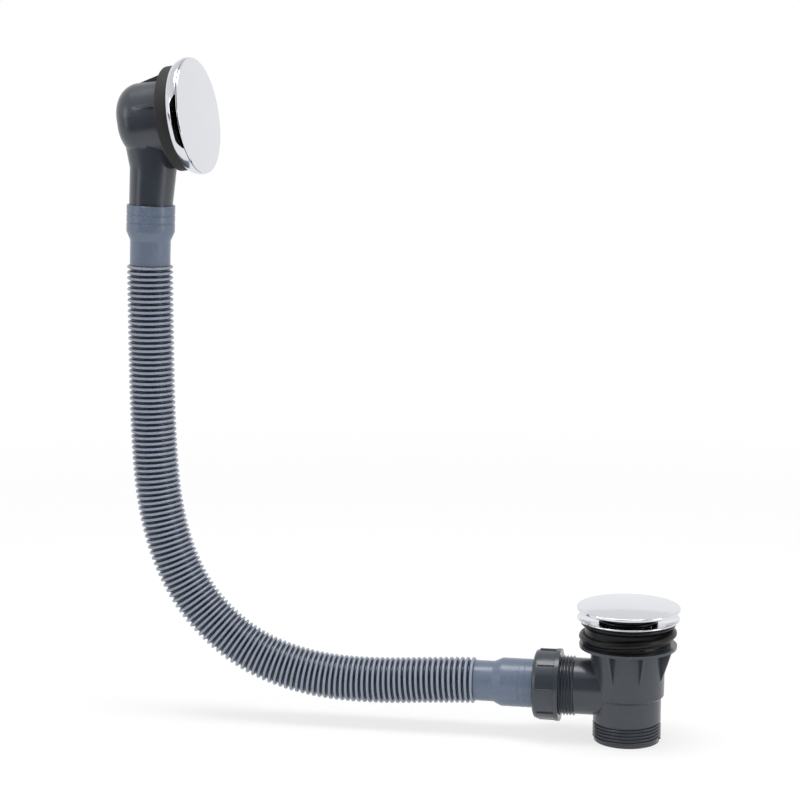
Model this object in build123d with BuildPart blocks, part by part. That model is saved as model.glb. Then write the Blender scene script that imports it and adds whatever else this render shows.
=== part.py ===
from build123d import *
from math import cos, radians, sin, sqrt, tan
import os

os.makedirs("parts", exist_ok=True)

# Bath waste with a sprung push plug, its ribbed overflow hose and its round overflow head.
# The origin is on the waste's axis, in the plane of the chrome rim. +Z is up.
# The hose leaves towards -X and ends in the overflow head. The plug is open, at the top of its travel.

# Clearances
fit = 0.3             # between curved faces that slide, turn or meet
thread_play = 0.15    # between a thread and the hole that it is screwed into

# Chrome waste flange: a dish with a tail, and a hub on arms at the foot of the tail
rim_radius = 35.75
rim_height = 2.0
rim_round = 0.9
dish_foot_radius = 33.0
dish_foot_drop = 5.2
dish_wall = 1.5
tail_radius = 22.2
tail_wall = 1.6
tail_drop = 24.0
hub_radius = 11.0
hub_height = 7.0
arm_count = 4
arm_width = 3.2
arm_height = 5.0

# Plastic waste body
flange_drop = 19.1
flange_radius = 34.0
flange_thickness = 2.0
flange_neck = 1.5         # the cone between the flange and the barrel
tail_gap = 0.5            # between the tail and the bore of the barrel
barrel_draft = 0.4        # what the barrel loses in radius down to its step
body_wall = 3.3
step_drop = 55.0
step_height = 2.0
lower_radius = 23.7
outlet_drop = 88.2
outlet_thread_radius = 23.9
outlet_thread_length = 13.5
relief_radius = 22.6      # the plain groove above the outlet's thread
relief_length = 1.2
thread_chamfer = 1.0
gusset_count = 8
gusset_start = 25.0       # degrees, the first gusset from +X
gusset_thickness = 1.8
gusset_height = 22.0
gusset_inset = 1.0        # from the flange's edge to the gusset's outer corner

# Side inlet of the body
inlet_drop = 51.5
inlet_radius = 19.75
inlet_thread_radius = 20.95
inlet_thread_start = 37.0
inlet_reach = 59.0
mouth_chamfer = 2.0

# Boss inside the body, its arms and its brass insert
boss_radius = 13.0
boss_gap = 4.0            # left under the flange's hub for a thicker bath
boss_height = 18.0
boss_arm_count = 4
boss_arm_width = 3.0
boss_arm_height = 11.0
insert_radius = 9.5
insert_collar_radius = 11.0
insert_collar_height = 2.0
insert_height = 16.0

# Rubber between the chrome flange and the body
washer_radius = 29.5
washer_thickness = 2.0
seal_radius = 34.0
seal_groove_radius = 29.5
seal_play = 1.4           # between the tail and the bores of the rubber
lip_steps = 4
seal_tilt = 1.4           # degrees, how the loose seal hangs
seal_slack = 0.9          # room that the hanging seal needs above it and below

# Hollow clamp screw and push cartridge
screw_radius = 7.0
screw_head_width = 17.0
screw_head_height = 3.0
screw_length = 31.0       # from the hub's top to the screw's end
screw_wall = 1.5
collar_width = 13.0
collar_height = 2.5
cartridge_wall = 1.0
cartridge_length = 46.0
cartridge_floor = 2.0
cartridge_lip = 1.2       # the lip round the stud at the top of the housing's bore
stud_radius = 3.0
crown_height = 4.0
crown_notch_count = 6
crown_drop = 34.0
notch_width = 1.2
notch_depth = 1.4
pin_radius = 1.6
cam_height = 4.6
cam_gap = 0.3
spring_wire = 0.9
spring_turns = 5

# Plug
dome_steps = 2
plug_travel = 5.5
plug_closed_gap = 0.4     # between the closed cap and the chrome rim
cap_radius = 36.0
cap_edge = 1.5
cap_crown = 1.9
cap_wall = 1.6
cap_lip = 3.0             # width of the cap's flat underside at its edge
cap_bevel = 0.5
cap_recess_fall = 0.3
cap_boss_radius = 5.4
cap_boss_height = 3.4
carrier_draft = 2.4       # what the carrier's cone gains in radius under the cap
carrier_play = 2.2        # between the carrier and the tail's bore
carrier_height = 10.0
carrier_neck = 4.6        # height of the carrier's cone under the cap
ring_wire = 1.5           # radius of the rubber ring's section
ring_play = 0.1
ring_sides = 10
ring_rise = 2.2           # from the carrier's foot to the ring's middle
nut_width = 10.0
nut_height = 3.6

# Compression nut on the inlet, with its ring and rubber
nut_radius = 24.4
nut_lip_radius = 25.45
nut_lip_length = 3.1
nut_length = 18.6
nut_grip = 12.4           # how far the nut reaches over the inlet's end
nut_end_wall = 3.0
nut_shoulder = 3.2
grip_count = 8
grip_start = 5.0          # degrees, the first rib from the front, upwards
grip_width = 2.2
grip_height = 0.9
grip_length = 11.8
slip_thickness = 1.0

# Hose
ridge_count = 120
ridge_radius = 16.4
ridge_root_radius = 14.1
ridge_sides = 12
bore_steps = 18
hose_bore_radius = 12.3
cuff_radius = 17.05
cuff_neck_radius = 14.3
cuff_taper = 6.0
lower_cuff_neck = 13.0    # plain neck between the lower cuff's taper and the ridges
lower_cuff_bare = 28.9    # from the inlet's end to where the lower cuff starts to taper
lower_cuff_depth = 20.0   # how far the hose reaches into the inlet
upper_cuff_length = 18.5
upper_cuff_neck = 17.3
cuff_wall = 1.6
hose_straight = 8.0       # straight start of the tube under the upper cuff
hose_bends = [            # corners of the route seen from the front, rounded off by arcs
    (-341.7, 100.5),
    (-333.6, 43.2),
    (-313.7, -1.6),
    (-280.5, -33.6),
    (-243.4, -50.1),
    (-194.8, -56.9),
]
hose_level_run = 10.1     # straight end of the tube before the lower neck
bend_share = 0.45         # part of the shorter run beside a corner that its arc takes

# Elbow behind the bath's wall
spigot_x = -340.0         # where the spigot's axis meets the upper cuff's rim
cuff_rim_rise = 281.8
spigot_lean = 2.0         # degrees
spigot_radius = 15.3
neck_height = 26.2        # from the cuff's rim to the narrow place under the cup
neck_shift = 2.3          # how far the neck stands towards the flange there
neck_radius = 16.5
throat_height = 44.0      # from the cuff's rim to where the neck ends inside the cup
throat_shift = 1.2
throat_radius = 18.6
spigot_depth = 17.0       # how far the spigot reaches into the cuff
elbow_wall = 2.4
cup_half_width = 24.0
cup_top = 28.0            # over the head's centre line
cup_depth = 36.2
cup_round = 15.5
elbow_flange_radius = 32.5
elbow_flange_thickness = 2.2
elbow_gusset_thickness = 2.0
elbow_gusset_length = 19.0
side_gusset_rise = 11.0
elbow_boss_radius = 6.5
elbow_boss_gap = 3.5      # from the flange's face back to the boss
elbow_insert_radius = 4.0
elbow_insert_length = 12.0

# Overflow head, from its chrome front back to the elbow
head_x = -303.1
head_y = -3.0
head_rise = 344.5
head_tilt = 8.0           # degrees, the face looks this much upwards
head_turn = 4.5           # degrees, the face is turned this much towards -Y
cover_radius = 40.3
cover_edge = 1.2
cover_crown = 1.2
cover_gap = 0.4
rosette_radius = 40.7
rosette_rear_radius = 36.9
rosette_depth = 8.9
rosette_flare = 2.7       # from the rosette's rear to the bend in its side
rosette_wall = 1.4
rosette_land = 1.5
rosette_bore_radius = 26.0
bridge_width = 12.0
cup_hub_radius = 9.0
cup_hub_wall = 1.8
cup_hub_height = 6.0
slot_width = 5.4
slot_start = -44.0        # degrees from the level line, on each side
slot_end = 14.0
gasket_radius = 36.5
gasket_bore_radius = 27.0
gasket_thickness = 7.9
stub_wall = 2.0
stub_length = 5.2
stub_ring_wire = 0.5
head_screw_radius = 2.5
head_screw_head_radius = 4.6
head_screw_head_height = 2.0
head_screw_length = 24.0
screw_slot_width = 1.0

# Levels along the waste's axis
flange_top = -flange_drop
dish_foot = -dish_foot_drop
tail_foot = -tail_drop
hub_top = tail_foot + hub_height
boss_top = tail_foot - boss_gap
boss_foot = boss_top - boss_height
barrel_step = -step_drop
outlet_foot = -outlet_drop
inlet_level = -inlet_drop
barrel_bore = tail_radius + tail_gap
barrel_radius = barrel_bore + body_wall
barrel_step_radius = barrel_radius - barrel_draft
lower_bore = lower_radius - body_wall
thread_top = outlet_foot + outlet_thread_length
relief_top = thread_top + relief_length
tail_bore = tail_radius - tail_wall
seal_bore_radius = tail_radius + seal_play
carrier_radius = tail_bore - carrier_play
carrier_top_radius = carrier_radius - carrier_draft
cap_underside = plug_closed_gap + plug_travel
inlet_bore = cuff_radius + fit
nut_start = inlet_reach - nut_grip
lower_cuff_shoulder = inlet_reach + lower_cuff_bare
washer_top = flange_top + washer_thickness
collar_foot = hub_top + screw_head_height
collar_top = collar_foot + collar_height
screw_bore = screw_radius - screw_wall
cartridge_radius = screw_bore - fit
cartridge_bore = cartridge_radius - cartridge_wall
cartridge_foot = collar_foot - cartridge_length
plunger_bore = stud_radius + fit
crown_radius = cartridge_bore - fit
crown_top = -crown_drop
crown_foot = crown_top - crown_height
cam_top = crown_foot - cam_gap
cam_foot = cam_top - cam_height
spring_top = cam_foot - cam_gap
spring_foot = cartridge_foot + cartridge_floor + cam_gap


# Section of a low dome in straight steps, from its rim to its middle
def dome_points(run, rim_level, crown):
    sphere = (run**2 + crown**2) / (2 * crown)
    points = []
    for step in range(dome_steps + 1):
        distance = run * (1 - step / dome_steps)
        points.append((distance, rim_level + crown - sphere + sqrt(sphere**2 - distance**2)))
    return points


# Section of a half-round lip in straight steps, from its top to its foot
def lip_points(root, tip, middle, half):
    points = []
    for step in range(lip_steps + 1):
        angle = radians(90 - 180 * step / lip_steps)
        points.append((root + (tip - root) * cos(angle), middle + half * sin(angle)))
    return points


# Chrome waste flange
with BuildPart() as waste_flange:
    with BuildSketch(Plane.XZ):
        with BuildLine():
            Polyline(
                (rim_radius - rim_round / 3, -rim_round / 3),
                (rim_radius, -rim_round),
                (rim_radius, -rim_height),
                (dish_foot_radius, dish_foot),
                (tail_radius, dish_foot - dish_wall),
                (tail_radius, tail_foot),
                (tail_bore, tail_foot),
                (tail_bore, dish_foot - dish_wall),
                ((dish_foot_radius + tail_bore) / 2, dish_foot + dish_wall / 2),
                (rim_radius - dish_wall, -rim_round),
                (rim_radius - rim_round, 0),
                close=True,
            )
        make_face()
    revolve(axis=Axis.Z)
    with BuildSketch(Plane.XY.offset(tail_foot)):
        Circle(hub_radius)
    extrude(amount=hub_height)
    with BuildSketch(Plane.XY.offset(tail_foot)):
        with PolarLocations((tail_bore + hub_radius) / 2, arm_count, start_angle=180 / arm_count):
            Rectangle(tail_bore - hub_radius + tail_wall, arm_width)
    extrude(amount=arm_height)
    with BuildSketch(Plane.XY.offset(tail_foot)):
        Circle(screw_radius + fit)
    extrude(amount=hub_height, mode=Mode.SUBTRACT)
waste_flange.part.label = "waste_flange"
export_step(waste_flange.part, "parts/waste_flange.step")

# Plastic body: flange, barrel, side inlet and threaded outlet
gusset_top = flange_top - flange_thickness
with BuildPart() as waste_body:
    with BuildSketch(Plane.XZ):
        with BuildLine():
            Polyline(
                (0, flange_top),
                (flange_radius, flange_top),
                (flange_radius, gusset_top),
                (barrel_radius + flange_neck, gusset_top),
                (barrel_radius, gusset_top - flange_neck),
                (barrel_step_radius, barrel_step),
                (lower_radius, barrel_step - step_height),
                (lower_radius, relief_top),
                (relief_radius, relief_top),
                (relief_radius, thread_top),
                (outlet_thread_radius, thread_top),
                (outlet_thread_radius, outlet_foot + thread_chamfer),
                (outlet_thread_radius - thread_chamfer, outlet_foot),
                (0, outlet_foot),
                close=True,
            )
        make_face()
    revolve(axis=Axis.Z)
    with BuildSketch(Plane.YZ):
        with Locations((0, inlet_level)):
            Circle(inlet_radius)
    extrude(amount=-inlet_reach)
    with BuildSketch(Plane.YZ.offset(-inlet_thread_start)):
        with Locations((0, inlet_level)):
            Circle(inlet_thread_radius)
    extrude(amount=inlet_thread_start - inlet_reach)
    chamfer(waste_body.edges().filter_by(GeomType.CIRCLE).sort_by(Axis.X)[0], thread_chamfer)

    # Triangular gussets under the flange, apart from the two places that the inlet takes
    for number in range(gusset_count):
        turn = gusset_start + number * 360 / gusset_count
        if abs(turn - 180) < 180 / gusset_count + gusset_start / 2:
            continue
        with BuildSketch(Plane.XZ.rotated((0, 0, turn))):
            with BuildLine():
                Polyline(
                    (barrel_step_radius - body_wall / 2, gusset_top),
                    (flange_radius - gusset_inset, gusset_top),
                    (barrel_step_radius, gusset_top - gusset_height),
                    (barrel_step_radius - body_wall / 2, gusset_top - gusset_height),
                    close=True,
                )
            make_face()
        extrude(amount=gusset_thickness / 2, both=True)

    # Bores of the barrel, the outlet and the inlet
    with BuildSketch(Plane.XZ):
        with BuildLine():
            Polyline(
                (0, flange_top),
                (barrel_bore, flange_top),
                (barrel_bore, barrel_step),
                (lower_bore, barrel_step - step_height),
                (lower_bore, outlet_foot),
                (0, outlet_foot),
                close=True,
            )
        make_face()
    revolve(axis=Axis.Z, mode=Mode.SUBTRACT)
    with BuildSketch(Plane.YZ.offset(-inlet_reach)):
        with Locations((0, inlet_level)):
            Circle(inlet_bore)
    extrude(amount=inlet_reach, mode=Mode.SUBTRACT)
    with BuildSketch(Plane.YZ.offset(-inlet_reach)):
        with Locations((0, inlet_level)):
            Circle(inlet_bore + mouth_chamfer)
    extrude(amount=mouth_chamfer, taper=45, mode=Mode.SUBTRACT)

    # Boss for the insert, on arms that stand between the inlet and the tail
    boss_arm_middle = (barrel_bore + boss_radius) / 2
    with BuildSketch(Plane.XY.offset(boss_foot)):
        Circle(boss_radius)
    extrude(amount=boss_height)
    with BuildSketch(Plane.XY.offset(boss_top)):
        with PolarLocations(boss_arm_middle, boss_arm_count, start_angle=180 / boss_arm_count):
            Rectangle(barrel_bore - boss_radius + body_wall, boss_arm_width)
    extrude(amount=-boss_arm_height)
    with BuildSketch(Plane.XY.offset(boss_top)):
        Circle(screw_radius + fit)
    extrude(amount=-boss_height, mode=Mode.SUBTRACT)
    with BuildSketch(Plane.XY.offset(boss_foot)):
        Circle(insert_radius)
    extrude(amount=insert_height, mode=Mode.SUBTRACT)
    with BuildSketch(Plane.XY.offset(boss_foot)):
        Circle(insert_collar_radius)
    extrude(amount=insert_collar_height, mode=Mode.SUBTRACT)
waste_body.part.label = "waste_body"
export_step(waste_body.part, "parts/waste_body.step")

# Brass insert in the boss
with BuildPart() as body_insert:
    with BuildSketch(Plane.XY.offset(boss_foot)):
        Circle(insert_collar_radius)
    extrude(amount=insert_collar_height)
    with BuildSketch(Plane.XY.offset(boss_foot)):
        Circle(insert_radius)
    extrude(amount=insert_height)
    with BuildSketch(Plane.XY.offset(boss_foot)):
        Circle(screw_radius + thread_play)
    extrude(amount=insert_height, mode=Mode.SUBTRACT)
body_insert.part.label = "body_insert"
export_step(body_insert.part, "parts/body_insert.step")

# Thin washer on the body's flange
with BuildPart() as lower_washer:
    with BuildSketch(Plane.XY.offset(flange_top)):
        Circle(washer_radius)
        Circle(seal_bore_radius, mode=Mode.SUBTRACT)
    extrude(amount=washer_thickness)
lower_washer.part.label = "lower_washer"
export_step(lower_washer.part, "parts/lower_washer.step")

# Thick seal with two rounded lips and a groove between them, hanging a little askew round the tail
seal_room = dish_foot - dish_wall - washer_top
seal_half = seal_room / 2 - seal_slack
seal_middle = (0, 0, washer_top + seal_room / 2)
seal_lean = radians(seal_tilt)
with BuildPart() as upper_seal:
    with BuildSketch(Plane(seal_middle, x_dir=(cos(seal_lean), 0, sin(seal_lean)), z_dir=(0, -1, 0))):
        with BuildLine():
            Polyline(
                (seal_bore_radius, -seal_half),
                (seal_bore_radius, seal_half),
                *lip_points(seal_groove_radius, seal_radius, seal_half / 2, seal_half / 2),
                *lip_points(seal_groove_radius, seal_radius, -seal_half / 2, seal_half / 2)[1:],
                close=True,
            )
        make_face()
    revolve(axis=Axis(seal_middle, (-sin(seal_lean), 0, cos(seal_lean))))
upper_seal.part.label = "upper_seal"
export_step(upper_seal.part, "parts/upper_seal.step")

# Hollow clamp screw through the flange's hub into the brass insert
with BuildPart() as flange_screw:
    with BuildSketch(Plane.XY.offset(hub_top)):
        RegularPolygon(screw_head_width / 2, 6, major_radius=False)
    extrude(amount=screw_head_height)
    with BuildSketch(Plane.XY.offset(hub_top)):
        Circle(screw_radius)
    extrude(amount=-screw_length)
    with BuildSketch(Plane.XY.offset(collar_foot)):
        Circle(screw_bore)
    extrude(amount=-screw_head_height - screw_length, mode=Mode.SUBTRACT)
flange_screw.part.label = "flange_screw"
export_step(flange_screw.part, "parts/flange_screw.step")

# Housing of the push mechanism
with BuildPart() as cartridge_housing:
    with BuildSketch(Plane.XY.offset(collar_foot)):
        RegularPolygon(collar_width / 2, 6, major_radius=False)
    extrude(amount=collar_height)
    with BuildSketch(Plane.XY.offset(collar_foot)):
        Circle(cartridge_radius)
    extrude(amount=-cartridge_length)
    with BuildSketch(Plane.XY.offset(cartridge_foot + cartridge_floor)):
        Circle(cartridge_bore)
    extrude(amount=collar_top - cartridge_lip - cartridge_foot - cartridge_floor, mode=Mode.SUBTRACT)
    with BuildSketch(Plane.XY.offset(collar_top)):
        Circle(plunger_bore)
    extrude(amount=-cartridge_lip, mode=Mode.SUBTRACT)
cartridge_housing.part.label = "cartridge_housing"
export_step(cartridge_housing.part, "parts/cartridge_housing.step")

# Stud that carries the plug, with a notched crown and a pin for the indexing ring
stud_top = cap_underside - fit
with BuildPart() as cartridge_plunger:
    with BuildSketch(Plane.XY.offset(crown_top)):
        Circle(stud_radius)
    extrude(amount=stud_top - crown_top)
    with BuildSketch(Plane.XY.offset(crown_foot)):
        Circle(crown_radius)
    extrude(amount=crown_height)
    with BuildSketch(Plane.XY.offset(crown_foot)):
        with PolarLocations(crown_radius, crown_notch_count):
            Rectangle(crown_radius - pin_radius, notch_width)
    extrude(amount=notch_depth, mode=Mode.SUBTRACT)
    with BuildSketch(Plane.XY.offset(crown_foot)):
        Circle(pin_radius)
    extrude(amount=-cam_gap - cam_height)
cartridge_plunger.part.label = "cartridge_plunger"
export_step(cartridge_plunger.part, "parts/cartridge_plunger.step")

# Indexing ring on the plunger's pin
with BuildPart() as cartridge_cam:
    with BuildSketch(Plane.XY.offset(cam_top)):
        Circle(crown_radius)
    extrude(amount=-cam_height)
    with BuildSketch(Plane.XY.offset(cam_top)):
        with PolarLocations(crown_radius, crown_notch_count):
            Rectangle(crown_radius - pin_radius, notch_width)
    extrude(amount=-notch_depth, mode=Mode.SUBTRACT)
    with BuildSketch(Plane.XY.offset(cam_top)):
        Circle(pin_radius + fit)
    extrude(amount=-cam_height, mode=Mode.SUBTRACT)
cartridge_cam.part.label = "cartridge_cam"
export_step(cartridge_cam.part, "parts/cartridge_cam.step")

# Compression spring between the indexing ring and the housing's floor
spring_radius = cartridge_bore - fit - spring_wire / 2
coil_height = spring_top - spring_foot - spring_wire
with BuildPart() as cartridge_spring:
    with BuildLine():
        coil = Helix(
            pitch=coil_height / spring_turns,
            height=coil_height,
            radius=spring_radius,
            center=(0, 0, spring_foot + spring_wire / 2),
        )
    with BuildSketch(Plane(coil @ 0, x_dir=(1, 0, 0), z_dir=coil % 0)):
        Rectangle(spring_wire, spring_wire)
    sweep(path=coil, is_frenet=True)
cartridge_spring.part.label = "cartridge_spring"
export_step(cartridge_spring.part, "parts/cartridge_spring.step")

# Chrome plug cap: a low dome over a flat lip, a pad for the carrier and a threaded boss
cap_edge_top = cap_underside + cap_edge
with BuildPart() as plug_cap:
    with BuildSketch(Plane.XZ):
        with BuildLine():
            Polyline(
                (0, cap_underside - cap_boss_height),
                (cap_boss_radius, cap_underside - cap_boss_height),
                (cap_boss_radius, cap_underside),
                (carrier_top_radius, cap_underside),
                (carrier_top_radius, cap_edge_top + cap_crown - cap_wall - cap_recess_fall),
                (cap_radius - cap_lip, cap_edge_top - cap_wall + cap_recess_fall),
                (cap_radius - cap_lip, cap_underside),
                (cap_radius - cap_bevel, cap_underside),
                (cap_radius, cap_underside + cap_bevel),
                (cap_radius, cap_edge_top - cap_bevel),
                *dome_points(cap_radius - cap_bevel, cap_edge_top, cap_crown),
                close=True,
            )
        make_face()
    revolve(axis=Axis.Z)
    with BuildSketch(Plane.XY.offset(cap_underside - cap_boss_height)):
        Circle(stud_radius + thread_play)
    extrude(amount=cap_boss_height, mode=Mode.SUBTRACT)
plug_cap.part.label = "plug_cap"
export_step(plug_cap.part, "parts/plug_cap.step")

# Plastic carrier clamped under the cap, with a groove for the rubber ring
carrier_foot = cap_underside - carrier_height
ring_level = carrier_foot + ring_rise
ring_radius = tail_bore - fit - ring_wire
with BuildPart() as plug_carrier:
    with BuildSketch(Plane.XZ):
        with BuildLine():
            Polyline(
                (0, cap_underside),
                (carrier_top_radius, cap_underside),
                (carrier_radius, cap_underside - carrier_neck),
                (carrier_radius, ring_level + ring_wire + ring_play),
                (ring_radius - ring_wire - ring_play, ring_level + ring_wire + ring_play),
                (ring_radius - ring_wire - ring_play, ring_level - ring_wire - ring_play),
                (carrier_radius, ring_level - ring_wire - ring_play),
                (carrier_radius, carrier_foot),
                (0, carrier_foot),
                close=True,
            )
        make_face()
    revolve(axis=Axis.Z)
    with BuildSketch(Plane.XY.offset(cap_underside)):
        Circle(cap_boss_radius + fit)
    extrude(amount=-cap_boss_height, mode=Mode.SUBTRACT)
    with BuildSketch(Plane.XY.offset(cap_underside)):
        Circle(stud_radius + fit)
    extrude(amount=-carrier_height, mode=Mode.SUBTRACT)
    with BuildSketch(Plane.XY.offset(carrier_foot)):
        RegularPolygon(nut_width / 2 + fit, 6, major_radius=False)
    extrude(amount=nut_height, mode=Mode.SUBTRACT)
plug_carrier.part.label = "plug_carrier"
export_step(plug_carrier.part, "parts/plug_carrier.step")

# Rubber ring that closes the tail's mouth
with BuildPart() as plug_seal:
    with BuildSketch(Plane.XZ):
        with Locations((ring_radius, ring_level)):
            RegularPolygon(ring_wire, ring_sides)
    revolve(axis=Axis.Z)
plug_seal.part.label = "plug_seal"
export_step(plug_seal.part, "parts/plug_seal.step")

# Nut in the carrier's foot
with BuildPart() as plug_nut:
    with BuildSketch(Plane.XY.offset(carrier_foot)):
        RegularPolygon(nut_width / 2, 6, major_radius=False)
        Circle(stud_radius + thread_play, mode=Mode.SUBTRACT)
    extrude(amount=nut_height)
plug_nut.part.label = "plug_nut"
export_step(plug_nut.part, "parts/plug_nut.step")

# Compression nut: lip, rounded shoulder, end wall and raised grip ribs
inlet_axis = Axis((0, 0, inlet_level), (1, 0, 0))
inlet_section = Plane((0, 0, inlet_level), x_dir=(1, 0, 0), z_dir=(0, -1, 0))
nut_end = -nut_start - nut_length
nut_wall_face = nut_end + nut_end_wall
nut_bore = inlet_thread_radius + thread_play
shoulder_mid = nut_shoulder * (1 - cos(radians(45)))
with BuildPart() as inlet_nut:
    with BuildSketch(inlet_section):
        with BuildLine():
            Polyline(
                (nut_end, nut_radius - nut_shoulder),
                (nut_end, inlet_bore),
                (nut_wall_face, inlet_bore),
                (nut_wall_face, nut_bore),
                (-nut_start, nut_bore),
                (-nut_start, nut_lip_radius),
                (-nut_start - nut_lip_length, nut_lip_radius),
                (-nut_start - nut_lip_length, nut_radius),
                (nut_end + nut_shoulder, nut_radius),
                (nut_end + shoulder_mid, nut_radius - shoulder_mid),
                close=True,
            )
        make_face()
    revolve(axis=inlet_axis)
    with BuildSketch(Plane.YZ.offset(-nut_start - nut_lip_length)):
        with Locations((0, inlet_level)):
            with PolarLocations(nut_radius, grip_count, start_angle=180 - grip_start):
                Rectangle(2 * grip_height, grip_width)
    extrude(amount=-grip_length)
inlet_nut.part.label = "inlet_nut"
export_step(inlet_nut.part, "parts/inlet_nut.step")

# Flat ring between the nut's end wall and the rubber
slip_radius = nut_bore - fit
slip_face = nut_wall_face + slip_thickness
with BuildPart() as slip_ring:
    with BuildSketch(Plane.YZ.offset(nut_wall_face)):
        with Locations((0, inlet_level)):
            Circle(slip_radius)
            Circle(inlet_bore, mode=Mode.SUBTRACT)
    extrude(amount=slip_thickness)
slip_ring.part.label = "slip_ring"
export_step(slip_ring.part, "parts/slip_ring.step")

# Tapered rubber ring pressed into the inlet's mouth
with BuildPart() as nut_seal:
    with BuildSketch(inlet_section):
        with BuildLine():
            Polyline(
                (slip_face, cuff_radius + thread_play),
                (slip_face, slip_radius),
                (-inlet_reach - thread_play, slip_radius),
                (-inlet_reach - thread_play, inlet_bore + mouth_chamfer - thread_play),
                (-inlet_reach + mouth_chamfer - 2 * thread_play, inlet_bore),
                (-inlet_reach + mouth_chamfer - 2 * thread_play, cuff_radius + thread_play),
                close=True,
            )
        make_face()
    revolve(axis=inlet_axis)
nut_seal.part.label = "nut_seal"
export_step(nut_seal.part, "parts/nut_seal.step")

# Overflow hose: lower cuff in the inlet, ridged tube along its route, upper cuff over the spigot.
# The tube's sections are polygons, in turn small and large.
lean = radians(spigot_lean)
spigot_direction = (sin(lean), 0, cos(lean))
cuff_rim = Plane((spigot_x, 0, cuff_rim_rise), x_dir=(0, 1, 0), z_dir=spigot_direction)
upper_neck_end = -upper_cuff_length - cuff_taper - upper_cuff_neck
lower_neck_end = -lower_cuff_shoulder - cuff_taper - lower_cuff_neck
lower_cuff_mouth = -inlet_reach + lower_cuff_depth
hose_start = cuff_rim.origin + cuff_rim.z_dir * upper_neck_end
hose_lead = cuff_rim.origin + cuff_rim.z_dir * (upper_neck_end - hose_straight)
hose_points = [hose_start, hose_lead]
hose_points += [Vector(bend_x, 0, bend_z) for bend_x, bend_z in hose_bends]
hose_points.append(Vector(lower_neck_end - hose_level_run, 0, inlet_level))
hose_points.append(Vector(lower_neck_end, 0, inlet_level))
hose_radii = []
for before, corner, after in zip(hose_points, hose_points[1:], hose_points[2:]):
    turn = radians((corner - before).get_angle(after - corner))
    run = min((corner - before).length, (after - corner).length)
    hose_radii.append(bend_share * run / tan(turn / 2))
print("hose radii", [round(radius) for radius in hose_radii])
with BuildPart() as overflow_hose:
    with BuildLine():
        route = FilletPolyline(*hose_points, radius=hose_radii)
    for step in range(2 * ridge_count + 1):
        share = step / (2 * ridge_count)
        with BuildSketch(Plane(route @ share, x_dir=(0, 1, 0), z_dir=route % share)):
            RegularPolygon(ridge_radius if step % 2 else ridge_root_radius, ridge_sides)
    loft(ruled=True)
    with BuildSketch(inlet_section):
        with BuildLine():
            Polyline(
                (lower_neck_end, 0),
                (lower_neck_end, cuff_neck_radius),
                (-lower_cuff_shoulder - cuff_taper, cuff_neck_radius),
                (-lower_cuff_shoulder, cuff_radius),
                (lower_cuff_mouth, cuff_radius),
                (lower_cuff_mouth, 0),
                close=True,
            )
        make_face()
    revolve(axis=inlet_axis)
    with BuildSketch(Plane(cuff_rim.origin, x_dir=(0, 1, 0), z_dir=(cos(lean), 0, -sin(lean)))):
        with BuildLine():
            Polyline(
                (0, upper_neck_end),
                (cuff_neck_radius, upper_neck_end),
                (cuff_neck_radius, -upper_cuff_length - cuff_taper),
                (cuff_radius, -upper_cuff_length),
                (cuff_radius, 0),
                (0, 0),
                close=True,
            )
        make_face()
    revolve(axis=Axis(cuff_rim.origin, spigot_direction))
    print("hose tube length", round(route.length, 1))

    # Bore through both cuffs and the tube
    with BuildSketch(cuff_rim):
        Circle(hose_bore_radius)
    extrude(amount=upper_neck_end, mode=Mode.SUBTRACT)
    with BuildSketch(cuff_rim):
        Circle(spigot_radius + fit)
    extrude(amount=-spigot_depth - fit, mode=Mode.SUBTRACT)
    with BuildSketch(Plane.YZ.offset(lower_cuff_mouth)):
        with Locations((0, inlet_level)):
            Circle(hose_bore_radius)
    extrude(amount=lower_neck_end - lower_cuff_mouth, mode=Mode.SUBTRACT)
    with BuildSketch(Plane.YZ.offset(lower_cuff_mouth)):
        with Locations((0, inlet_level)):
            Circle(cuff_radius - cuff_wall)
    extrude(amount=-lower_cuff_shoulder - lower_cuff_mouth, mode=Mode.SUBTRACT)
    for step in range(bore_steps + 1):
        share = step / bore_steps
        with BuildSketch(Plane(route @ share, x_dir=(0, 1, 0), z_dir=route % share)):
            RegularPolygon(hose_bore_radius, ridge_sides)
    loft(ruled=True, mode=Mode.SUBTRACT)
overflow_hose.part.label = "overflow_hose"
export_step(overflow_hose.part, "parts/overflow_hose.step")

# The head's frame: local x is level, local y is up in the face, local z looks out of the face
tilt = radians(head_tilt)
twist = radians(head_turn)
head = Plane(
    (head_x, head_y, head_rise),
    x_dir=(sin(twist), cos(twist), 0),
    z_dir=(cos(tilt) * cos(twist), -cos(tilt) * sin(twist), sin(tilt)),
)
head_section = Plane(head.origin, x_dir=head.y_dir, z_dir=head.x_dir)
head_axis = Axis(head.origin, head.z_dir)
rosette_front = -cover_edge - cover_gap
rosette_rear = rosette_front - rosette_depth
elbow_front = rosette_rear - gasket_thickness
elbow_rear = elbow_front - elbow_flange_thickness
arch_rise = cup_top - cup_half_width


# The cup behind the flange, two half-rounds with flat sides between, grown inwards by an inset
def cup_solid(front, inset, edge_cut, edge_size):
    half_width = cup_half_width - inset
    with BuildPart() as cup:
        with BuildSketch(head.offset(front)):
            Circle(half_width)
            with Locations((0, arch_rise)):
                Circle(half_width)
            with Locations((0, arch_rise / 2)):
                Rectangle(2 * half_width, arch_rise)
        extrude(amount=elbow_rear - cup_depth + inset - front)
        back = cup.faces().sort_by(head_axis)[0]
        edge_cut(back.edges(), edge_size)
    return cup.part


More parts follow.
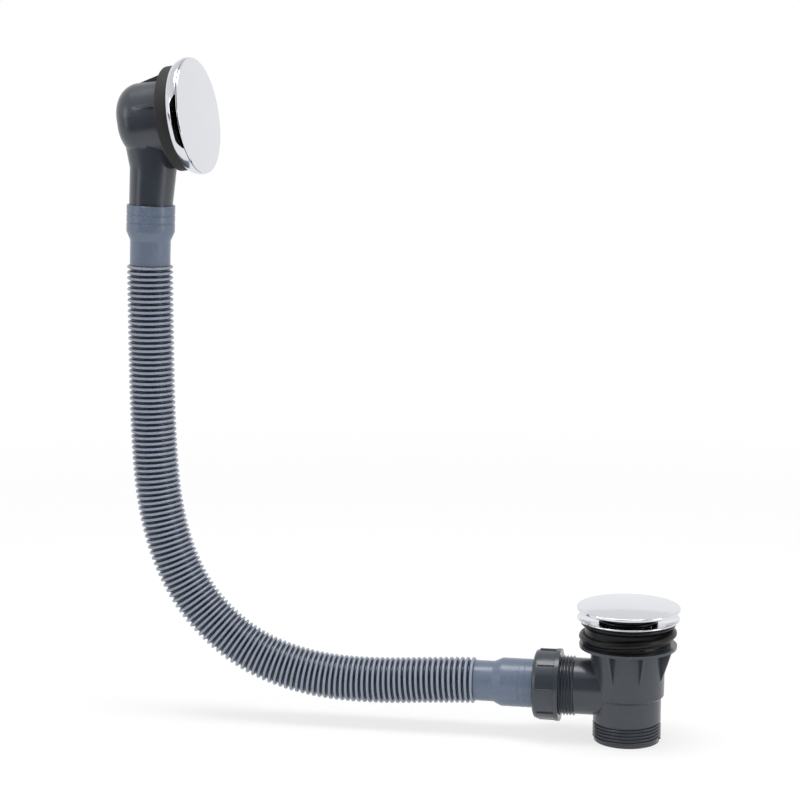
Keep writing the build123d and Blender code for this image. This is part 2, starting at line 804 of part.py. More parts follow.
# Elbow: flange, cup, spigot, gussets and the boss for its insert
elbow_boss_front = elbow_front - elbow_boss_gap
cup_back = elbow_rear - cup_depth
cup_bevel = (cup_round - elbow_wall) * (2 - sqrt(2))
neck = Plane((spigot_x + neck_shift, 0, cuff_rim_rise + neck_height))
throat = Plane((spigot_x + throat_shift, 0, cuff_rim_rise + throat_height))
with BuildPart() as overflow_elbow:
    add(cup_solid(elbow_rear, 0, fillet, cup_round))
    with BuildSketch(head.offset(elbow_rear)):
        Circle(elbow_flange_radius)
    extrude(amount=elbow_flange_thickness)
    with BuildSketch(cuff_rim):
        Circle(spigot_radius)
    extrude(amount=-spigot_depth)
    with BuildSketch(cuff_rim):
        Circle(spigot_radius)
    with BuildSketch(neck):
        Circle(neck_radius)
    loft()
    with BuildSketch(neck):
        Circle(neck_radius)
    with BuildSketch(throat):
        Circle(throat_radius)
    loft()
    with BuildSketch(head_section):
        with BuildLine():
            Polyline(
                (cup_top - elbow_wall, elbow_rear),
                (elbow_flange_radius, elbow_rear),
                (cup_top, elbow_rear - elbow_gusset_length),
                (cup_top - elbow_wall, elbow_rear - elbow_gusset_length),
                close=True,
            )
        make_face()
    extrude(amount=elbow_gusset_thickness / 2, both=True)
    side_reach = sqrt(elbow_flange_radius**2 - side_gusset_rise**2)
    side_gusset_foot = head.origin + head.y_dir * side_gusset_rise
    with BuildSketch(Plane(side_gusset_foot, x_dir=head.x_dir, z_dir=-head.y_dir)):
        for side in (1, -1):
            with BuildLine():
                Polyline(
                    (side * (cup_half_width - elbow_wall), elbow_rear),
                    (side * side_reach, elbow_rear),
                    (side * (cup_half_width - elbow_wall), elbow_rear - elbow_gusset_length),
                    close=True,
                )
            make_face()
    extrude(amount=elbow_gusset_thickness / 2, both=True)
    add(cup_solid(elbow_front, elbow_wall, chamfer, cup_bevel), mode=Mode.SUBTRACT)
    with BuildSketch(cuff_rim.offset(-spigot_depth)):
        Circle(spigot_radius - elbow_wall)
    extrude(amount=spigot_depth + throat_height, mode=Mode.SUBTRACT)
    with BuildSketch(head.offset(elbow_boss_front)):
        Circle(elbow_boss_radius)
    extrude(amount=cup_back + elbow_wall / 2 - elbow_boss_front)
    with BuildSketch(head.offset(elbow_boss_front)):
        Circle(elbow_insert_radius)
    extrude(amount=-elbow_insert_length, mode=Mode.SUBTRACT)
overflow_elbow.part.label = "overflow_elbow"
export_step(overflow_elbow.part, "parts/overflow_elbow.step")

# Brass insert in the elbow's boss
with BuildPart() as elbow_insert:
    with BuildSketch(head.offset(elbow_boss_front)):
        Circle(elbow_insert_radius)
        Circle(head_screw_radius + thread_play, mode=Mode.SUBTRACT)
    extrude(amount=-elbow_insert_length)
elbow_insert.part.label = "elbow_insert"
export_step(elbow_insert.part, "parts/elbow_insert.step")

# Foam gasket between the elbow's flange and the bath's wall
with BuildPart() as overflow_gasket:
    with BuildSketch(head.offset(elbow_front)):
        Circle(gasket_radius)
        Circle(gasket_bore_radius, mode=Mode.SUBTRACT)
    extrude(amount=gasket_thickness)
overflow_gasket.part.label = "overflow_gasket"
export_step(overflow_gasket.part, "parts/overflow_gasket.step")

# Chrome rosette: a flared ring with a slot in each side, a bridge and a cup for the cover's stub
land_face = rosette_rear + rosette_land
hub_bore = cup_hub_radius - cup_hub_wall
flare_mid = rosette_rear + rosette_flare
slot_reach = 2 * rosette_radius
with BuildPart() as overflow_rosette:
    with BuildSketch(head_section):
        with BuildLine():
            Polyline(
                (rosette_rear_radius, rosette_rear),
                ((rosette_rear_radius + rosette_radius) / 2 + rosette_wall / 2, flare_mid),
                (rosette_radius, rosette_front - rosette_wall),
                (rosette_radius - rosette_wall / 2, rosette_front),
                (rosette_radius - rosette_wall, rosette_front),
                (rosette_radius - rosette_wall, flare_mid + rosette_wall),
                (rosette_rear_radius - rosette_wall, land_face),
                (rosette_bore_radius, land_face),
                (rosette_bore_radius, rosette_rear),
                close=True,
            )
        make_face()
    revolve(axis=head_axis)
    with BuildSketch(head.offset(rosette_rear)):
        Rectangle(bridge_width, 2 * rosette_bore_radius + rosette_wall)
    extrude(amount=rosette_land)
    with BuildSketch(head.offset(rosette_rear)):
        Circle(cup_hub_radius)
    extrude(amount=cup_hub_height)
    with BuildSketch(head.offset(land_face)):
        Circle(hub_bore)
    extrude(amount=cup_hub_height, mode=Mode.SUBTRACT)
    with BuildSketch(head.offset(rosette_rear)):
        Circle(head_screw_radius + fit)
    extrude(amount=rosette_land, mode=Mode.SUBTRACT)
    with BuildSketch(head.offset(rosette_front - slot_width)):
        for side in (1, -1):
            with BuildLine():
                Polyline(
                    (0, 0),
                    (side * slot_reach * cos(radians(slot_start)), slot_reach * sin(radians(slot_start))),
                    (side * slot_reach * cos(radians(slot_end)), slot_reach * sin(radians(slot_end))),
                    close=True,
                )
            make_face()
        Circle(rosette_rear_radius - rosette_wall, mode=Mode.SUBTRACT)
    extrude(amount=slot_width, mode=Mode.SUBTRACT)
overflow_rosette.part.label = "overflow_rosette"
export_step(overflow_rosette.part, "parts/overflow_rosette.step")

# Screw through the bridge into the elbow's insert
with BuildPart() as overflow_screw:
    with BuildSketch(head.offset(land_face)):
        Circle(head_screw_head_radius)
    extrude(amount=head_screw_head_height)
    with BuildSketch(head.offset(land_face)):
        Circle(head_screw_radius)
    extrude(amount=-head_screw_length)
    with BuildSketch(head.offset(land_face + head_screw_head_height)):
        Rectangle(2 * head_screw_head_radius, screw_slot_width)
    extrude(amount=-head_screw_head_height / 2, mode=Mode.SUBTRACT)
overflow_screw.part.label = "overflow_screw"
export_step(overflow_screw.part, "parts/overflow_screw.step")

# Chrome front disc with the grooved stub that plugs into the rosette's cup
stub_radius = hub_bore - fit
stub_foot = -cover_edge - stub_length
stub_ring_level = stub_foot + 2 * stub_ring_wire + thread_play
stub_ring_radius = hub_bore - thread_play - stub_ring_wire
with BuildPart() as overflow_cover:
    with BuildSketch(head_section):
        with BuildLine():
            Polyline(
                (0, -cover_edge),
                (stub_radius - stub_wall, -cover_edge),
                (stub_radius - stub_wall, stub_foot),
                (stub_radius, stub_foot),
                (stub_radius, stub_ring_level - stub_ring_wire - thread_play),
                (stub_ring_radius - stub_ring_wire, stub_ring_level - stub_ring_wire - thread_play),
                (stub_ring_radius - stub_ring_wire, stub_ring_level + stub_ring_wire + thread_play),
                (stub_radius, stub_ring_level + stub_ring_wire + thread_play),
                (stub_radius, -cover_edge),
                (cover_radius, -cover_edge),
                *dome_points(cover_radius, 0, cover_crown),
                close=True,
            )
        make_face()
    revolve(axis=head_axis)
overflow_cover.part.label = "overflow_cover"
export_step(overflow_cover.part, "parts/overflow_cover.step")

# Rubber ring in the stub's groove
with BuildPart() as cover_ring:
    with BuildSketch(head_section):
        with Locations((stub_ring_radius, stub_ring_level)):
            RegularPolygon(stub_ring_wire, 6)
    revolve(axis=head_axis)
cover_ring.part.label = "cover_ring"
export_step(cover_ring.part, "parts/cover_ring.step")
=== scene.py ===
import math

import bmesh
import bpy
from mathutils import Matrix, Vector


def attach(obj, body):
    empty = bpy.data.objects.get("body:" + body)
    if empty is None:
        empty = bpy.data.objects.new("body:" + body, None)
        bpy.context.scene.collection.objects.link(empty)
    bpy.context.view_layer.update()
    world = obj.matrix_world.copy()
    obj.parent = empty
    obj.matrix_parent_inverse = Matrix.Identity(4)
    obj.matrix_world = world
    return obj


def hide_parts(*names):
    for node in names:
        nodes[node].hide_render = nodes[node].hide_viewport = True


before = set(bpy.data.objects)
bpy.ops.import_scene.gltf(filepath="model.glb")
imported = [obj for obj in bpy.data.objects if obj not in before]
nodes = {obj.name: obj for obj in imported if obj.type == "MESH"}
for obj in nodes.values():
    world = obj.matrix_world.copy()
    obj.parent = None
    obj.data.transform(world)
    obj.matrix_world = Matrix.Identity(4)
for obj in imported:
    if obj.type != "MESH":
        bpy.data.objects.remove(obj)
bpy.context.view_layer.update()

# Sizes are in mm, and places are from the middle of the waste hole with Z up, unless a note says more
mm = 0.001
middleFlat = 0.4


def report(stage):
    print("bath waste:", stage)


# Modelling steps that several pieces share

def pickNothing():
    if bpy.context.mode != "OBJECT":
        bpy.ops.object.mode_set(mode="OBJECT")
    bpy.ops.object.select_all(action="DESELECT")


def pickPiece(piece):
    pickNothing()
    piece.select_set(True)
    bpy.context.view_layer.objects.active = piece


def editPiece(piece, mode="VERT"):
    pickPiece(piece)
    bpy.ops.object.mode_set(mode="EDIT")
    bpy.ops.mesh.select_mode(type=mode)


def pickWhere(piece, test):
    # picks the vertices whose place passes the test, with the edges and faces between them
    bpy.ops.mesh.select_all(action="DESELECT")
    mesh = bmesh.from_edit_mesh(piece.data)
    for vertex in mesh.verts:
        vertex.select = bool(test(vertex.co))
    mesh.select_flush(True)
    bmesh.update_edit_mesh(piece.data)


def pickRims():
    bpy.ops.mesh.select_mode(type="EDGE")
    bpy.ops.mesh.select_all(action="DESELECT")
    bpy.ops.mesh.select_non_manifold(
        use_wire=False, use_multi_face=False, use_non_contiguous=False, use_verts=False
    )


def faceOutwards():
    bpy.ops.mesh.select_all(action="SELECT")
    bpy.ops.mesh.normals_make_consistent(inside=False)
    bpy.ops.object.mode_set(mode="OBJECT")


def setInPlace(piece, place):
    pickPiece(piece)
    piece.matrix_world = place @ piece.matrix_world
    bpy.ops.object.transform_apply(location=True, rotation=True, scale=True)
    return piece


def modify(piece, kind, **settings):
    pickPiece(piece)
    bpy.ops.object.modifier_add(type=kind)
    modifier = piece.modifiers[-1]
    for key, value in settings.items():
        setattr(modifier, key, value)
    bpy.ops.object.modifier_apply(modifier=modifier.name)
    return piece


def soften(piece, width):
    # rounds every edge that is sharper than 35 degrees
    return modify(
        piece, "BEVEL", width=width * mm, segments=2,
        limit_method="ANGLE", angle_limit=math.radians(35),
    )


def smooth(piece, angle=32):
    pickPiece(piece)
    bpy.ops.object.shade_smooth_by_angle(angle=math.radians(angle))
    return piece


def smoothFlats(piece, angle=32):
    # the shading follows the larger faces, so that flats and barrels stay clean beside their rounds
    return modify(smooth(piece, angle), "WEIGHTED_NORMAL", keep_sharp=True)


def arc(centre, radius, start, end, steps):
    # points of a round in an outline, angles in degrees
    points = []
    for step in range(steps + 1):
        angle = math.radians(start + (end - start) * step / steps)
        points.append((centre[0] + radius * math.cos(angle), centre[1] + radius * math.sin(angle)))
    return points


def dome(run, rim, crown, steps):
    # a low spherical dome, from its rim in to a small flat at its middle
    sphere = (run**2 + crown**2) / (2 * crown)
    points = []
    for step in range(steps + 1):
        distance = run + (middleFlat - run) * step / steps
        points.append((distance, rim + crown - sphere + math.sqrt(sphere**2 - distance**2)))
    return points


def turned(name, outline, sides=128, ring=True, place=None):
    # a turned piece: a circle drawn up, out and in along the outline of (radius, height) in mm
    pickNothing()
    radius, height = outline[0]
    bpy.ops.mesh.primitive_circle_add(
        vertices=sides, radius=radius * mm, location=(0, 0, height * mm)
    )
    piece = bpy.context.object
    piece.name = name
    bpy.ops.object.transform_apply(location=True, rotation=False, scale=False)
    bpy.ops.object.mode_set(mode="EDIT")
    bpy.ops.mesh.select_all(action="SELECT")
    for nextRadius, nextHeight in outline[1:]:
        rise = (0, 0, (nextHeight - height) * mm)
        bpy.ops.mesh.extrude_edges_move(TRANSFORM_OT_translate={"value": rise})
        grow = nextRadius / radius
        bpy.ops.transform.resize(value=(grow, grow, 1), center_override=(0, 0, nextHeight * mm))
        radius, height = nextRadius, nextHeight
    pickRims()
    if ring:
        bpy.ops.mesh.bridge_edge_loops()
    else:
        bpy.ops.mesh.fill_holes(sides=0)
    faceOutwards()
    if place is not None:
        setInPlace(piece, place)
    return piece


def copyOfNode(node, name):
    # a moulded piece starts as a copy of its solid, with its loose triangles joined up
    source = nodes[node]
    piece = bpy.data.objects.new(name, source.data.copy())
    bpy.context.scene.collection.objects.link(piece)
    editPiece(piece)
    bpy.ops.mesh.select_all(action="SELECT")
    bpy.ops.mesh.remove_doubles(threshold=0.002 * mm)
    bpy.ops.mesh.dissolve_limited(angle_limit=math.radians(0.6))
    bpy.ops.object.mode_set(mode="OBJECT")
    return piece


def helix(name, outline, pitch, turns, place, steps=72):
    # a thread: a small closed outline of (radius, height) in mm, screwed up the local Z axis
    pickNothing()
    radius, height = outline[0]
    bpy.ops.mesh.primitive_plane_add(size=mm, location=(0, 0, 0))
    piece = bpy.context.object
    piece.name = name
    editPiece(piece)
    bpy.ops.mesh.select_all(action="SELECT")
    bpy.ops.mesh.merge(type="CENTER")
    bpy.ops.transform.translate(value=(radius * mm, 0, height * mm))
    for nextRadius, nextHeight in outline[1:]:
        step = ((nextRadius - radius) * mm, 0, (nextHeight - height) * mm)
        bpy.ops.mesh.extrude_region_move(TRANSFORM_OT_translate={"value": step})
        radius, height = nextRadius, nextHeight
    first = Vector((outline[0][0] * mm, 0, outline[0][1] * mm))
    last = Vector((radius * mm, 0, height * mm))
    near = 0.01 * mm
    pickWhere(piece, lambda co: min((co - first).length, (co - last).length) < near)
    bpy.ops.mesh.edge_face_add()
    bpy.ops.object.mode_set(mode="OBJECT")
    modify(
        piece, "SCREW", axis="Z", angle=2 * math.pi, screw_offset=pitch * mm,
        iterations=turns, steps=steps, render_steps=steps, use_merge_vertices=False,
    )
    editPiece(piece)
    pickRims()
    bpy.ops.mesh.fill_holes(sides=0)
    faceOutwards()
    return smooth(setInPlace(piece, place), 50)


# Shader nodes: a wire is a socket whose sums become Math nodes

class Wire:
    def __init__(self, finish, socket):
        self.finish = finish
        self.socket = socket

    def maths(self, operation, first, second):
        return self.finish.node("Math", {"operation": operation}, {0: first, 1: second})

    def __add__(self, other):
        return self.maths("ADD", self, other)

    def __radd__(self, other):
        return self.maths("ADD", other, self)

    def __sub__(self, other):
        return self.maths("SUBTRACT", self, other)

    def __rsub__(self, other):
        return self.maths("SUBTRACT", other, self)

    def __mul__(self, other):
        return self.maths("MULTIPLY", self, other)

    def __rmul__(self, other):
        return self.maths("MULTIPLY", other, self)

    def most(self, other):
        return self.maths("MAXIMUM", self, other)


class Finish:
    def __init__(self, tree):
        self.tree = tree
        self.tree.nodes.clear()

    def node(self, kind, settings, sockets, output=0):
        made = self.tree.nodes.new("ShaderNode" + kind)
        for key, value in settings.items():
            setattr(made, key, value)
        for key, value in sockets.items():
            if isinstance(value, Wire):
                self.tree.links.new(value.socket, made.inputs[key])
            elif isinstance(value, tuple) and len(value) == 3 and made.inputs[key].type == "RGBA":
                made.inputs[key].default_value = (*value, 1)
            else:
                made.inputs[key].default_value = value
        return Wire(self, made.outputs[output]) if made.outputs else None

    def place(self):
        return self.node("TexCoord", {}, {}, "Object")

    def noise(self, size, detail=2.0, stretch=None):
        # size of the grain in mm
        where = self.place()
        if stretch:
            where = self.node("Mapping", {}, {"Vector": where, "Scale": stretch})
        return self.node("TexNoise", {}, {"Vector": where, "Scale": 1000 / size, "Detail": detail})

    def blend(self, amount, first, second):
        return self.node("Mix", {"data_type": "RGBA"}, {0: amount, 6: first, 7: second}, 2)

    def bump(self, height, depth):
        return self.node("Bump", {}, {"Height": height, "Distance": depth * mm})

    def easing(self, value, span, first, last):
        # goes softly from first to last while the value crosses the span
        return self.node(
            "MapRange", {"interpolation_type": "SMOOTHSTEP"},
            {0: value, 1: span[0], 2: span[1], 3: first, 4: last},
        )

    def surface(self, **sockets):
        named = {key.replace("_", " "): value for key, value in sockets.items()}
        shader = self.node("BsdfPrincipled", {}, named)
        self.node("OutputMaterial", {}, {"Surface": shader})


def newFinish(name):
    material = bpy.data.materials.new(name)
    material.use_nodes = True
    return material, Finish(material.node_tree)


mouldedLook = {
    "dark": (0.028, 0.034, 0.045), "light": (0.039, 0.046, 0.060),
    "cloud": 14.0, "grain": 0.35, "streak": 3.0, "stretch": (1, 1, 0.12),
    "rough": 0.16, "shine": 0.6, "depth": 0.012,
}


def mouldedPlastic():
    look = mouldedLook
    material, finish = newFinish("mouldedPlastic")
    cloud = finish.noise(look["cloud"], 3.0)
    grain = finish.noise(look["grain"], 2.0)
    streak = finish.noise(look["streak"], 4.0, look["stretch"])
    finish.surface(
        Base_Color=finish.blend(cloud, look["dark"], look["light"]),
        Roughness=look["rough"] + 0.12 * cloud + 0.05 * streak,
        Normal=finish.bump(grain + 0.4 * streak, look["depth"]),
        Specular_IOR_Level=look["shine"],
    )
    return material


hoseLook = {
    "plain": (0.128, 0.162, 0.228), "cloudy": (0.112, 0.146, 0.208),
    # crest is painted lighter than the plain hose, a painted highlight, and gap is painted shade in the
    # grooves
    "crest": (0.250, 0.292, 0.378), "gap": (0.024, 0.026, 0.034), "gapSpan": (0.14, 0.72),
    "cloud": 22.0, "grain": 0.5, "rough": 0.20, "shine": 0.5, "depth": 0.015,
}


def hosePlastic(ridged):
    look = hoseLook
    material, finish = newFinish("ridgedHosePlastic" if ridged else "plainHosePlastic")
    cloud = finish.noise(look["cloud"], 3.0)
    grain = finish.noise(look["grain"], 2.0)
    colour = finish.blend(cloud, look["plain"], look["cloudy"])
    # painted light on the ridges: the deeper a point lies between the crests, the more painted shade it
    # gets
    if ridged:
        depth = finish.node("Attribute", {"attribute_name": "groove"}, {}, "Fac")
        paintedShade = finish.easing(depth, look["gapSpan"], 0.0, 1.0)
        colour = finish.blend(paintedShade, look["crest"], look["gap"])
    finish.surface(
        Base_Color=colour,
        Roughness=look["rough"] + 0.14 * cloud,
        Normal=finish.bump(grain + cloud, look["depth"]),
        Specular_IOR_Level=look["shine"],
    )
    return material


chromeLook = {
    "dark": (0.690, 0.710, 0.750), "light": (0.720, 0.735, 0.765),
    "cloud": 18.0, "wipe": 1.2, "stretch": (1, 0.15, 1), "rough": 0.035,
    # inside is the near-black painted shade colour for the ring's inner faces
    "ringRough": 0.10, "inside": (0.020, 0.021, 0.024), "insideRough": 0.4,
}


def chromePlate(name, rough, shadeInside=False):
    look = chromeLook
    material, finish = newFinish(name)
    cloud = finish.noise(look["cloud"], 3.0)
    wipe = finish.noise(look["wipe"], 5.0, look["stretch"])
    colour = finish.blend(cloud, look["dark"], look["light"])
    roughness = rough + 0.03 * cloud + 0.015 * wipe
    if shadeInside:
        # the faces out of sight inside the ring get painted shade: a near-black colour, and a rougher
        # finish
        inside = finish.node("Attribute", {"attribute_name": "inside"}, {}, "Fac")
        colour = finish.blend(inside, colour, look["inside"])
        roughness = roughness + look["insideRough"] * inside
    finish.surface(Base_Color=colour, Metallic=1.0, Roughness=roughness)
    return material


rubberLook = {
    "dark": (0.004, 0.004, 0.005), "light": (0.008, 0.008, 0.009),
    "cloud": 6.0, "grain": 0.4, "rough": 0.24, "shine": 0.22, "depth": 0.012,
}


def sealRubber():
    look = rubberLook
    material, finish = newFinish("sealRubber")
    cloud = finish.noise(look["cloud"], 3.0)
    grain = finish.noise(look["grain"], 3.0)
    finish.surface(
        Base_Color=finish.blend(cloud, look["dark"], look["light"]),
        Roughness=look["rough"] + 0.14 * cloud,
        Normal=finish.bump(grain, look["depth"]),
        Specular_IOR_Level=look["shine"],
    )
    return material


foamLook = {
    "dark": (0.012, 0.012, 0.013), "light": (0.026, 0.026, 0.028),
    "cells": 1700.0, "cloud": 5.0, "rough": 0.62, "shine": 0.4, "depth": 0.08,
}


def closedFoam():
    look = foamLook
    material, finish = newFinish("closedFoam")
    cells = finish.node(
        "TexVoronoi", {}, {"Vector": finish.place(), "Scale": look["cells"]}, "Distance"
    )
    cloud = finish.noise(look["cloud"], 3.0)
    finish.surface(
        Base_Color=finish.blend(cloud, look["dark"], look["light"]),
        Roughness=look["rough"] + 0.2 * cloud,
        Normal=finish.bump(cells + 0.5 * cloud, look["depth"]),
        Specular_IOR_Level=look["shine"],
    )
    return material


turnedLook = {"cuts": 0.5, "stretch": (0.1, 0.1, 1), "cloud": 4.0, "depth": 0.01}
steelLook = {"dark": (0.50, 0.50, 0.51), "light": (0.62, 0.62, 0.63), "rough": 0.24}
brassLook = {"dark": (0.60, 0.42, 0.17), "light": (0.72, 0.54, 0.26), "rough": 0.22}


def turnedMetal(name, look):
    material, finish = newFinish(name)
    cuts = finish.noise(turnedLook["cuts"], 2.0, turnedLook["stretch"])
    cloud = finish.noise(turnedLook["cloud"], 3.0)
    finish.surface(
        Base_Color=finish.blend(cloud, look["dark"], look["light"]),
        Metallic=1.0,
        Roughness=look["rough"] + 0.12 * cuts,
        Normal=finish.bump(cuts, turnedLook["depth"]),
    )
    return material


mechanismLook = {
    "dark": (0.050, 0.051, 0.053), "light": (0.075, 0.076, 0.079),
    "cloud": 8.0, "grain": 0.4, "rough": 0.34, "depth": 0.012,
}


def mechanismPlastic():
    look = mechanismLook
    material, finish = newFinish("mechanismPlastic")
    cloud = finish.noise(look["cloud"], 3.0)
    grain = finish.noise(look["grain"], 2.0)
    finish.surface(
        Base_Color=finish.blend(cloud, look["dark"], look["light"]),
        Roughness=look["rough"] + 0.12 * cloud,
        Normal=finish.bump(grain, look["depth"]),
    )
    return material


moulded = mouldedPlastic()
ridgedHose = hosePlastic(True)
plainHose = hosePlastic(False)
chrome = chromePlate("chromePlate", chromeLook["rough"])
ringChrome = chromePlate("ringChromePlate", chromeLook["ringRough"], shadeInside=True)
rubber = sealRubber()
foam = closedFoam()
steel = turnedMetal("turnedSteel", steelLook)
brass = turnedMetal("turnedBrass", brassLook)
mechanism = mechanismPlastic()
report("finishes made")


def finishPiece(piece, material, body, slot, *stoodFor):
    piece.data.materials.clear()
    piece.data.materials.append(material)
    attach(piece, body)
    if stoodFor:
        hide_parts(*stoodFor)
    return piece


nodeFinish = {
    "body_insert": brass, "elbow_insert": brass, "plug_nut": brass,
    "lower_washer": rubber, "plug_seal": rubber, "nut_seal": rubber, "cover_ring": rubber,
    "flange_screw": steel, "cartridge_spring": steel, "overflow_screw": steel,
    "cartridge_housing": mechanism, "cartridge_cam": mechanism, "cartridge_plunger": steel,
    "plug_carrier": mechanism, "slip_ring": mechanism,
}
for nodeName, material in nodeFinish.items():
    nodes[nodeName].data.materials.clear()
    nodes[nodeName].data.materials.append(material)

# Camera, at the photograph's angle
view = {
    "place": (0.1211, -1.5038, 0.4074),
    "looking": (-0.18235, 0.96894, -0.16705),
    "lens": 100.0,
    "sensor": 36.0,
}
pickNothing()
bpy.ops.object.camera_add(location=view["place"])
camera = bpy.context.object
camera.name = "studioCamera"
camera.rotation_euler = Vector(view["looking"]).to_track_quat("-Z", "Y").to_euler()
camera.data.lens = view["lens"]
camera.data.sensor_width = view["sensor"]
bpy.context.scene.camera = camera

# Overflow hose: one ridge drawn from circles, arrayed, and bent along the route. The ridge's
# outline is in shares of the pitch and of the height from root to crest
hose = {
    "route": [
        (-341.46, 0, 240.03), (-341.74, 0, 232.03), (-341.7, 0, 100.5), (-333.6, 0, 43.2),
        (-313.7, 0, -1.6), (-280.5, 0, -33.6), (-243.4, 0, -50.1), (-194.8, 0, -56.9),
        (-117.0, 0, -51.5), (-106.9, 0, -51.5),
    ],
    "ridges": 120,
    "crest": 16.3,
    "root": 13.9,
    "bore": 12.3,
    "sides": 48,
    "outline": [
        (0.12, 0.03), (0.18, 0.28), (0.26, 0.66), (0.36, 0.92),
        (0.50, 1.00), (0.64, 0.92), (0.74, 0.66), (0.82, 0.28), (0.88, 0.03),
    ],
}


def routeCurve():
    line = bpy.data.curves.new("hoseRoute", "CURVE")
    line.dimensions = "3D"
    line.resolution_u = 40
    spline = line.splines.new("NURBS")
    spline.points.add(len(hose["route"]) - 1)
    for point, corner in zip(spline.points, hose["route"]):
        point.co = (corner[0] * mm, corner[1] * mm, corner[2] * mm, 1)
    spline.use_endpoint_u = True
    spline.order_u = 3
    route = bpy.data.objects.new("hoseRoute", line)
    bpy.context.scene.collection.objects.link(route)
    return route


def lengthOf(route):
    bpy.context.view_layer.update()
    line = bpy.data.meshes.new_from_object(route)
    total = sum(
        (line.vertices[a].co - line.vertices[b].co).length
        for a, b in (edge.vertices for edge in line.edges)
    )
    bpy.data.meshes.remove(line)
    return total / mm


def ridgedHosePiece():
    route = routeCurve()
    length = lengthOf(route)
    pitch = length / hose["ridges"]
    report(f"hose {length:.1f} mm along its route, pitch {pitch:.3f} mm")
    sides = hose["sides"]
    pickNothing()
    bpy.ops.mesh.primitive_circle_add(
        vertices=sides, radius=hose["root"] * mm, rotation=(0, math.pi / 2, 0)
    )
    piece = bpy.context.object
    piece.name = "overflowHose"
    bpy.ops.object.transform_apply(location=False, rotation=True, scale=False)
    bpy.ops.object.mode_set(mode="EDIT")
    bpy.ops.mesh.select_all(action="SELECT")
    along, radius = 0.0, hose["root"]
    for share, height in hose["outline"] + [(1.0, 0.0)]:
        nextRadius = hose["root"] + height * (hose["crest"] - hose["root"])
        step = ((share * pitch - along) * mm, 0, 0)
        bpy.ops.mesh.extrude_edges_move(TRANSFORM_OT_translate={"value": step})
        grow = nextRadius / radius
        bpy.ops.transform.resize(value=(1, grow, grow), center_override=(share * pitch * mm, 0, 0))
        along, radius = share * pitch, nextRadius
    bpy.ops.mesh.select_all(action="DESELECT")
    bpy.ops.mesh.primitive_circle_add(
        vertices=sides, radius=hose["bore"] * mm, rotation=(0, math.pi / 2, 0)
    )
    bpy.ops.mesh.extrude_edges_move(TRANSFORM_OT_translate={"value": (pitch * mm, 0, 0)})
    bpy.ops.object.mode_set(mode="OBJECT")
    modify(
        piece, "ARRAY", count=hose["ridges"], use_relative_offset=False, use_constant_offset=True,
        constant_offset_displace=(pitch * mm, 0, 0), use_merge_vertices=True, merge_threshold=0.004 * mm,
    )
    editPiece(piece, "EDGE")
    for end in (0.0, length * mm):
        pickWhere(piece, lambda co: abs(co.x - end) < 0.05 * mm)
        bpy.ops.mesh.bridge_edge_loops()
    faceOutwards()
    # how deep a point lies between the crests, which the finish uses to paint shade into the gaps and a
    # highlight on the crests
    groove = piece.data.attributes.new("groove", "FLOAT", "POINT")
    for vertex, depth in zip(piece.data.vertices, groove.data):
        reach = math.hypot(vertex.co.y, vertex.co.z) / mm
        depth.value = min(max((hose["crest"] - reach) / (hose["crest"] - hose["root"]), 0), 1)
    modify(piece, "CURVE", object=route, deform_axis="POS_X")
    bpy.data.objects.remove(route)
    return smooth(piece, 60)


axes = {"inletLevel": -51.5, "spigot": (-340, 0, 281.8), "spigotLean": 2}
inletAxis = Matrix.Translation((0, 0, axes["inletLevel"] * mm)) @ Matrix.Rotation(math.pi / 2, 4, "Y")
spigotAxis = (
    Matrix.Translation(Vector(axes["spigot"]) * mm)
    @ Matrix.Rotation(math.radians(axes["spigotLean"]), 4, "Y")
)

finishPiece(ridgedHosePiece(), ridgedHose, "waste", "hose_plastic", "overflow_hose")

# The cuffs: a neck that the ridges end on, a flare, and a sleeve with two scored rings. Levels
# are along the cuff's axis, and a score is half its width, half its floor and its depth
cuff = {"end": 13.9, "neck": 14.3, "sleeve": 17.05}
lowerCuff = {
    "foot": -108.2, "ease": 1.3, "neckTop": -94.6, "flare": -88.3, "scores": (-75.0, -71.0),
    "score": (0.4, 0.2, 0.15), "mouth": -39.0, "lip": (16.8, 15.7), "socket": 15.4,
    "socketFloor": -87.9, "boreTop": -92.0,
}
upperCuff = {
    "foot": -43.2, "ease": 1.4, "neckTop": -25.4, "flare": -18.9, "scores": (-12.3, -6.8),
    "score": (0.6, 0.3, 0.30), "mouth": 0.0, "lip": (16.7, 15.8), "socket": 15.6,
    "socketFloor": -17.3, "boreTop": -17.3,
}


def cuffPiece(name, look, place):
    foot, mouth, sleeve = look["foot"], look["mouth"], cuff["sleeve"]
    outline = [
        (hose["bore"], foot), (cuff["end"], foot), (cuff["end"] + 0.2, foot + 0.6),
        (cuff["neck"], foot + look["ease"]), (cuff["neck"], look["neckTop"]),
        (cuff["neck"] + 0.1, look["neckTop"] + 0.7), (sleeve - 0.1, look["flare"]),
        (sleeve, look["flare"] + 0.7),
    ]
    half, floorHalf, deep = look["score"]
    for middle in look["scores"]:
        outline += [
            (sleeve, middle - half), (sleeve - deep, middle - floorHalf),
            (sleeve - deep, middle + floorHalf), (sleeve, middle + half),
        ]
    outline += [
        (sleeve, mouth - 0.4), (look["lip"][0], mouth), (look["lip"][1], mouth),
        (look["socket"], mouth - 0.3), (look["socket"], look["socketFloor"]),
        (hose["bore"], look["boreTop"]),
    ]
    piece = smooth(turned(name, outline, place=place), 30)
    return finishPiece(piece, plainHose, "waste", "hose_plastic", "overflow_hose")


cuffPiece("lowerCuff", lowerCuff, inletAxis)
cuffPiece("upperCuff", upperCuff, spigotAxis)
report("hose made")

